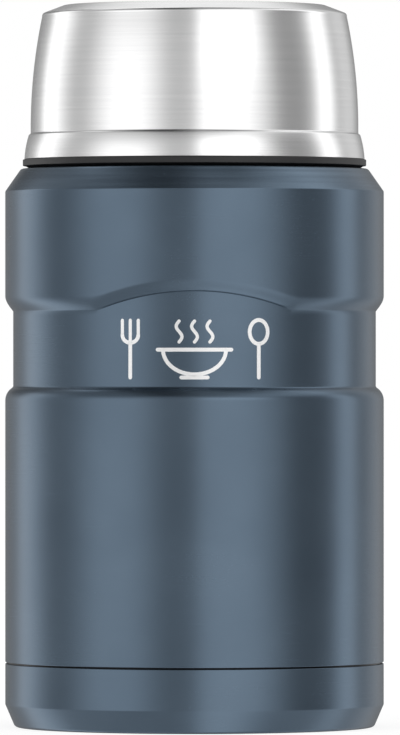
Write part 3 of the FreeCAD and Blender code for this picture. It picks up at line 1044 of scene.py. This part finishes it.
@dataclass
class Cup:
    """The screw-on cup: brushed shell, inner bowl and black threaded ring."""

    arc_steps: int = 14
    top: float = 190.5
    flat: float = 34.6
    flat_round: float = 0.9
    edge: float = 39.6
    edge_level: float = 188.6
    edge_bulge: float = 0.22
    wall_top: float = 40.25
    wall_top_level: float = 187.6
    wall_crown: float = 0.83
    wall_round: float = 0.3
    step: float = 43.28
    step_level: float = 156.8
    step_foot: Point = (0.52, 0.52)
    step_foot_round: float = 0.28
    step_head: Point = (0.08, 0.18)
    step_inside: Point = (0.65, 0.8)
    step_round: float = 0.1
    skirt: float = 44.93
    skirt_crown: float = 0.2
    rim: float = 149.95
    sheet: float = 0.5
    seat: float = 0.1
    hair_round: float = 0.12
    ring: float = 45.36
    ring_bottom: float = 148.1
    ring_bore: float = 41.5
    ring_top: float = 158.0
    ring_rim_gap: float = 0.15
    ring_foot_round: float = 0.55
    ring_round: float = 0.2
    bore_round: float = 0.3
    lip: float = 44.75
    lip_bottom: float = 147.6
    lip_slant: float = 0.9
    thread: Thread = Thread(Side.INWARD, 151.1, 0.4)
    thread_margin: float = 0.8
    thread_rows: int = 40
    bowl_wall: float = 0.4
    bowl_ceiling: float = 187.3
    bowl_flat: float = 33.6
    bowl_flat_round: float = 1.0
    bowl_shoulder: float = 38.9
    bowl_shoulder_level: float = 180.0
    bowl_crown: float = 1.6
    bowl_waist: float = 40.7
    bowl_waist_level: float = 168.0
    bowl_waist_round: float = 6.0
    bowl_mouth: float = 41.6
    bowl_rim: float = 42.4
    bowl_rim_levels: Span = (158.3, 158.75)

    def build_shell(self) -> None:
        """Make the brushed steel shell."""
        t = self.sheet
        out = Outline(arc_steps=self.arc_steps).to(self.skirt, self.rim, self.hair_round)
        out.bow(self.step + self.step_foot[0], self.step_level - self.step_foot[1],
                self.skirt_crown, self.step_foot_round)
        out.to(self.step + self.step_head[0], self.step_level - self.step_head[1],
               self.hair_round)
        out.to(self.step, self.step_level, self.step_round)
        out.bow(self.wall_top, self.wall_top_level, self.wall_crown, self.wall_round)
        out.bow(self.edge, self.edge_level, self.edge_bulge, self.wall_round)
        out.to(self.flat, self.top, self.flat_round).to(0, self.top)
        inner = Outline(arc_steps=self.arc_steps)
        self.skirt_inside(inner, t)
        inner.bow(self.wall_top - t, self.wall_top_level, self.wall_crown)
        inner.to(self.edge - t / 2, self.edge_level - t).to(self.flat, self.top - t)
        inner.to(0, self.top - t)
        points = list(reversed(inner.finish())) + out.finish()
        piece = turned_mesh("cup_steel_shell", lambda angle: points, FINER)
        fit(piece, "cup", "cup_shell", STEEL)

    def skirt_inside(self, out: Outline, inset: float) -> None:
        """Follow the inside of the skirt from the rim up to the step line.

        Args:
            out: the outline that goes on.
            inset: distance in from the steel's outer face.
        """
        out.to(self.skirt - inset, self.rim)
        out.bow(self.step + self.step_inside[0] - inset,
                self.step_level - self.step_inside[1] - inset / 3, self.skirt_crown)
        out.to(self.step - inset, self.step_level - inset)

    def build_ring(self) -> None:
        """Make the black ring with its inside thread."""
        t = self.sheet + self.seat
        band_top = self.rim - self.ring_rim_gap
        out = Outline().to(self.ring_bore, self.lip_bottom, self.bore_round)
        out.to(self.lip - self.lip_slant, self.lip_bottom, self.hair_round)
        out.to(self.lip, self.ring_bottom).to(self.ring, self.ring_bottom, self.ring_foot_round)
        out.to(self.ring, band_top, self.ring_round).to(self.skirt - t, band_top)
        self.skirt_inside(out, t)
        out.to(self.step - t, self.ring_top, self.ring_round)
        out.to(self.ring_bore, self.ring_top, self.bore_round)
        out.rows(self.ring_bore, self.ring_bottom + self.thread_margin, self.thread_rows)
        points = out.finish(True)
        piece = turned_mesh("cup_black_ring", lambda angle: self.thread.ridged(
            points, self.ring_bore, angle), closed=True)
        fit(piece, "cup", "cup_ring", BLACK)

    def build_bowl(self) -> None:
        """Make the steel inner bowl."""
        t = self.bowl_wall
        low, high = self.bowl_rim_levels
        top = self.bowl_ceiling
        out = Outline().to(0, top + t).to(self.bowl_flat + t, top + t, self.bowl_flat_round)
        out.bow(self.bowl_shoulder + t, self.bowl_shoulder_level, -self.bowl_crown)
        out.to(self.bowl_waist + t, self.bowl_waist_level, self.bowl_waist_round)
        out.to(self.bowl_mouth + t, high, self.bore_round).to(self.bowl_rim, high, self.hair_round)
        out.to(self.bowl_rim, low, self.hair_round).to(self.bowl_mouth, low, self.bore_round)
        out.to(self.bowl_waist, self.bowl_waist_level, self.bowl_waist_round)
        out.to(self.bowl_shoulder, self.bowl_shoulder_level)
        out.bow(self.bowl_flat, top, self.bowl_crown).to(0, top)
        points = out.finish()
        piece = turned_mesh("cup_inner_bowl", lambda angle: points)
        fit(piece, "cup_liner", "cup_bowl", LINER)

    def build(self) -> None:
        """Build the cup."""
        self.build_shell()
        self.build_ring()
        self.build_bowl()


@dataclass
class WaistPrint:
    """Plain white pictograms on the waist: a steaming bowl between a fork and a spoon.

    Levels count from the middle of the print, and ways across it from the front of the jar.
    The bowl, the fork's curve and the spoon are given by half their width and half their height.
    """

    radius: float = 47.9
    centre: float = 100.0
    line: float = 1.0
    thin_line: float = 0.85
    thickness: float = 0.05
    sunk: float = 0.02
    crisp: float = 60.0
    round_shares: tuple = (0.35, 0.65, 0.85, 0.97)
    hollow_span: Span = (0.5, 1.0)
    whole_span: Span = (-0.25, 0.75)
    foot: float = -7.6
    foot_half: float = 3.4
    foot_steps: int = 6
    rim: float = -0.4
    rim_half: float = 9.6
    rim_steps: int = 12
    bowl: Point = (8.2, 6.4)
    bowl_steps: int = 24
    steam_gap: float = 4.0
    steam_foot: float = 1.6
    steam_top: float = 7.0
    steam_sway: float = 0.75
    steam_steps: int = 16
    cutlery: float = 17.0
    stem_steps: int = 10
    fork_neck: float = 1.4
    fork_root: float = 3.4
    fork_curve: Point = (2.2, 2.0)
    fork_steps: int = 14
    tine_foot: float = 3.2
    tine_top: float = 7.2
    tine_steps: int = 6
    spoon_neck: float = 1.0
    spoon_middle: float = 4.2
    spoon: Point = (2.5, 3.1)
    spoon_steps: int = 32

    def on_wall(self, x: float, z: float, out: float) -> Vector:
        """Wrap a flat place onto the waist.

        Args:
            x: distance along the wall from the front.
            z: distance above the print's middle.
            out: distance off the wall.

        Returns:
            The place in metres.
        """
        angle = x / self.radius
        reach = self.radius + out
        return Vector((reach * math.sin(angle), -reach * math.cos(angle), self.centre + z)) * MM

    def stroke(self, mesh: bmesh.types.BMesh, path: Ring, closed: bool = False,
               width: float | None = None) -> None:
        """Lay a line of ink with round ends.

        Args:
            mesh: where it goes.
            path: its middle, flat.
            closed: the last point joins the first.
            width: its width, the usual line if left out.
        """
        half = (width or self.line) / 2
        places = [Vector(place) for place in path]
        count = len(places)
        stations = []
        for index, place in enumerate(places):
            before = places[index - 1] if closed or index else place
            after = places[(index + 1) % count] if closed or index < count - 1 else place
            stations.append((place, (after - before).normalized(), half))
        if not closed:
            ends = [(half * math.sin(math.pi / 2 * share), half * math.cos(math.pi / 2 * share))
                    for share in self.round_shares]
            first, start, _ = stations[0]
            last, end, _ = stations[-1]
            stations = [*((first - start * reach, start, narrow) for reach, narrow in ends[::-1]),
                        *stations, *((last + end * reach, end, narrow) for reach, narrow in ends)]
        left, right = ([(place.x - along.y * out * side, place.y + along.x * out * side)
                        for place, along, out in stations] for side in (1, -1))
        self.ribbon(mesh, left, right, closed)

    def ribbon(self, mesh: bmesh.types.BMesh, left: Ring, right: Ring, closed: bool) -> None:
        """Make a thin closed strip between two edges.

        Args:
            mesh: where it goes.
            left: one edge.
            right: the other edge.
            closed: the strip joins up.
        """
        loops = []
        for edge, out in ((left, self.thickness), (right, self.thickness),
                          (right, -self.sunk), (left, -self.sunk)):
            loops.append([mesh.verts.new(self.on_wall(x, z, out)) for x, z in edge])
        count = len(left)
        for index in range(count if closed else count - 1):
            after = (index + 1) % count
            for side, loop in enumerate(loops):
                other = loops[(side + 1) % len(loops)]
                mesh.faces.new([loop[index], loop[after], other[after], other[index]])
        if not closed:
            mesh.faces.new([loop[0] for loop in loops])
            mesh.faces.new([loop[-1] for loop in loops])

    def bar(self, start: Point, end: Point, steps: int, sway: float = 0.0) -> Ring:
        """Points of a line that may sway to both sides.

        Args:
            start: where it starts.
            end: where it ends.
            steps: number of steps.
            sway: how far it sways.

        Returns:
            The points in order.
        """
        shares = [step / steps for step in range(steps + 1)]
        return [(start[0] + (end[0] - start[0]) * share + sway * math.sin(FULL_TURN * share),
                 start[1] + (end[1] - start[1]) * share) for share in shares]

    def oval(self, centre: Point, halves: Point, steps: int, span: Span) -> Ring:
        """Points of an oval, or of part of it.

        Args:
            centre: its middle.
            halves: half its width and half its height.
            steps: number of steps.
            span: where it starts and ends, in turns from the right.

        Returns:
            The points in order.
        """
        angles = [FULL_TURN * (span[0] + (span[1] - span[0]) * step / steps)
                  for step in range(steps + 1)]
        return [(centre[0] + halves[0] * math.cos(angle), centre[1] + halves[1] * math.sin(angle))
                for angle in angles]

    def lay_bowl(self, mesh: bmesh.types.BMesh) -> None:
        """Lay the bowl with its rim and foot, and the steam over it.

        Args:
            mesh: where it goes.
        """
        self.stroke(mesh, self.oval((0.0, self.rim), self.bowl, self.bowl_steps, self.hollow_span))
        for half, level, steps in ((self.rim_half, self.rim, self.rim_steps),
                                   (self.foot_half, self.foot, self.foot_steps)):
            self.stroke(mesh, self.bar((-half, level), (half, level), steps))
        for way in (-self.steam_gap, 0.0, self.steam_gap):
            self.stroke(mesh, self.bar((way, self.steam_foot), (way, self.steam_top),
                                       self.steam_steps, self.steam_sway), width=self.thin_line)

    def lay_fork(self, mesh: bmesh.types.BMesh, way: float) -> None:
        """Lay the fork.

        Args:
            mesh: where it goes.
            way: its way across.
        """
        self.stroke(mesh, self.bar((way, self.foot), (way, self.fork_neck), self.stem_steps))
        self.stroke(mesh, self.oval((way, self.fork_root), self.fork_curve, self.fork_steps,
                                    self.hollow_span))
        half = self.fork_curve[0]
        for tine, low in ((way - half, self.tine_foot), (way, self.fork_neck),
                          (way + half, self.tine_foot)):
            self.stroke(mesh, self.bar((tine, low), (tine, self.tine_top), self.tine_steps),
                        width=self.thin_line)

    def lay_spoon(self, mesh: bmesh.types.BMesh, way: float) -> None:
        """Lay the spoon.

        Args:
            mesh: where it goes.
            way: its way across.
        """
        self.stroke(mesh, self.bar((way, self.foot), (way, self.spoon_neck), self.stem_steps))
        outline = self.oval((way, self.spoon_middle), self.spoon, self.spoon_steps, self.whole_span)
        self.stroke(mesh, outline[:-1], closed=True)

    def build(self) -> None:
        """Lay the bowl between the fork and the spoon."""
        mesh = bmesh.new()
        self.lay_bowl(mesh)
        self.lay_fork(mesh, -self.cutlery)
        self.lay_spoon(mesh, self.cutlery)
        piece = to_object("jar_waist_print", mesh, self.crisp)
        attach(piece, "jar")
        INK.dress(piece)
        log.info("%s laid", piece.name)


@dataclass(frozen=True)
class Panel:
    """A soft light, or a dark flag, that stands round the jar.

    Angles are degrees round the jar, 0 towards the camera and positive to its right. "high"
    and "low" say how much of it is left overhead and near the floor.
    """

    left: float
    right: float
    gain: float
    soft_left: float = 15.0
    soft_right: float = 15.0
    high: float = 0.0
    low: float = 1.0
    fade: Span = (0.38, 0.58)

    def level(self, turn: Socket, height: Socket) -> Socket:
        """Brightness that the panel adds.

        Args:
            turn: direction round the jar in degrees.
            height: height of the direction, 0 at eye level and 1 straight up.

        Returns:
            The brightness, below 0 for a flag.
        """
        over = height.smooth(*self.fade)
        under = height.smooth(*UNDERFOOT)
        rise = turn.smooth(self.left - self.soft_left, self.left + self.soft_left)
        fall = turn.smooth(self.right - self.soft_right, self.right + self.soft_right)
        upright = (1.0 - over * (1.0 - self.high)) * (1.0 - under * (1.0 - self.low))
        return (rise - fall) * upright * self.gain


@dataclass(frozen=True)
class Patch:
    """A soft light, or a dark flag, over or under the jar.

    Each edge names a way and where the light starts and is full along it, so an edge that
    the light ends at has its values the other way round.
    """

    gain: float
    edges: tuple[tuple[Way, float, float], ...]

    def level(self, ways: dict[Way, Socket]) -> Socket:
        """Brightness that the patch adds.

        Args:
            ways: the direction's value along each way.

        Returns:
            The brightness, below 0 for a flag.
        """
        made = self.gain
        for way, empty, full in self.edges:
            made = ways[way].smooth(empty, full) * made
        return made


@dataclass
class Studio:
    """White floor, a ring of soft panels with patches over it, one lamp and the camera."""

    eye: tuple = (0.0, -2378.0, 99.0)
    aim: tuple = (1.45, 0.0, 94.9)
    focal_pixels: float = 9000.0
    long_side: float = 735.0
    sensor: float = 36.0
    far: float = 30.0
    floor_size: float = 6.0
    floor_steps: int = 96
    floor_white: float = 0.9
    floor_glow: float = 1.3
    floor_share: float = 0.62
    surround: float = 0.52
    lamp_place: tuple = (-1.3, -1.2, 2.2)
    lamp_aim: tuple = (0.0, 0.0, 0.1)
    lamp_size: float = 1.2
    lamp_power: float = 10.0
    panels: tuple[Panel, ...] = (
        Panel(-134, -108.3, 1.0, 8, 15), Panel(-72, -27, 0.78, 16, 14, 0.0, 0.1, (0.22, 0.6)),
        Panel(2, 48, 0.83, 4, 20, 0.35), Panel(58, 88, -0.22, 10, 8, 0.0, 0.0),
        Panel(97, 115, 1.0, 7, 7, 0.4, 0.5), Panel(128, 149, 0.17, 5, 5),
        Panel(-200, -150, -0.22), Panel(158, 200, -0.24, 9))
    # The dim ceiling and the lights on it, the back, the front's shelf, the light off the floor.
    patches: tuple[Patch, ...] = (
        Patch(-0.47, (OVERHEAD,)), Patch(0.8, ((Way.RIGHT, 0.2, 0.65), OVERHEAD)),
        Patch(0.13, ((Way.RIGHT, -0.12, -0.02), OVERHEAD)),
        Patch(0.38, ((Way.RIGHT, -0.3, -0.6), OVERHEAD)),
        Patch(1.0, ((Way.RIGHT, -0.64, -0.52), (Way.RIGHT, 0.0, -0.15),
                    (Way.BACK, 0.06, 0.3), (Way.UP, 0.7, 0.8))),
        Patch(-0.2, ((Way.RIGHT, -0.15, -0.4), (Way.BACK, 0.35, 0.65),
                     (Way.UP, 0.1, 0.3), (Way.UP, 0.65, 0.5))),
        Patch(0.8, ((Way.BACK, 0.45, 0.75), (Way.UP, 0.3, 0.65), (Way.ASIDE, 0.42, 0.2))),
        Patch(0.5, ((Way.TURN, 0, 12), (Way.TURN, 58, 38), (Way.UP, 0.12, 0.3),
                    (Way.UP, 0.5, 0.4))),
        Patch(0.1, ((Way.ASIDE, 0.5, 0.75), (Way.UP, *UNDERFOOT))),
        Patch(0.08, ((Way.UP, *UNDERFOOT),)))

    def build_camera(self) -> None:
        """Set the camera at the photo's distance and height."""
        data = bpy.data.cameras.new("camera")
        data.sensor_width = self.sensor
        data.lens = self.focal_pixels / self.long_side * self.sensor
        data.clip_end = self.far
        camera = bpy.data.objects.new("camera", data)
        self.point(camera, Vector(self.eye) * MM, Vector(self.aim) * MM)
        bpy.context.scene.camera = camera

    @staticmethod
    def point(thing: bpy.types.Object, place: Vector, aim: Vector) -> None:
        """Put a camera or lamp at a place and turn it towards another.

        Args:
            thing: the object, linked here.
            place: where it stands.
            aim: where it looks.
        """
        thing.location = place
        thing.rotation_euler = (aim - place).to_track_quat("-Z", "Y").to_euler()
        bpy.context.collection.objects.link(thing)

    def build_floor(self) -> None:
        """Make the white floor. It keeps a soft shadow."""
        mesh = bmesh.new()
        bmesh.ops.create_circle(mesh, cap_ends=True, segments=self.floor_steps,
                                radius=self.floor_size)
        floor = to_object("floor", mesh)
        floor.visible_glossy = False
        material = bpy.data.materials.new("floor_white")
        material.use_nodes = True
        shader = Shader(material.node_tree)
        matt = shader.add("ShaderNodeBsdfDiffuse", inputs={"Color": (*[self.floor_white] * 3, 1)})
        glow = shader.add("ShaderNodeEmission", inputs={
            "Color": WHITE, "Strength": self.floor_glow})
        share = shader.seen() * self.floor_share
        shader.end(shader.add("ShaderNodeMixShader", inputs={0: share, 1: matt, 2: glow}))
        floor.data.materials.append(material)

    def build_world(self) -> None:
        """White for the camera. The jar reflects the panels and the patches."""
        world = bpy.data.worlds.new("surround")
        world.use_nodes = True
        bpy.context.scene.world = world
        shader = Shader(world.node_tree)
        x, y, z = shader.split(shader.add("ShaderNodeTexCoord", output="Generated"))
        turn = x.maths("ARCTAN2", x, 0.0 - y) * math.degrees(1)
        ways = {Way.RIGHT: x, Way.BACK: y, Way.UP: z, Way.TURN: turn,
                Way.ASIDE: x.maths("ABSOLUTE", x)}
        level = self.surround
        for panel in self.panels:
            level = panel.level(turn, z) + level
        for patch in self.patches:
            level = patch.level(ways) + level
        seen = shader.seen(gloss=False)
        level = level * (1.0 - seen) + seen
        back = shader.add("ShaderNodeBackground", inputs={"Color": WHITE, "Strength": level})
        shader.end(back, "ShaderNodeOutputWorld")

    def build_lamp(self) -> None:
        """Hang one soft square lamp aimed at the jar."""
        data = bpy.data.lights.new("key_lamp", "AREA")
        data.size = self.lamp_size
        data.energy = self.lamp_power
        lamp = bpy.data.objects.new("key_lamp", data)
        lamp.visible_glossy = False
        self.point(lamp, Vector(self.lamp_place), Vector(self.lamp_aim))

    def build(self) -> None:
        """Build the studio."""
        bpy.context.scene.view_settings.view_transform = "Standard"
        self.build_camera()
        self.build_floor()
        self.build_world()
        self.build_lamp()


def main() -> None:
    """Build the studio and the jar, and dress every piece."""
    logging.basicConfig(level=logging.INFO, format="%(message)s")
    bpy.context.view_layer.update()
    Studio().build()
    for part in (VacuumBody(), WaistPrint(), Stopper(), Cup()):
        part.build()
        log.info("%s done", type(part).__name__)


if __name__ == "__main__":
    main()
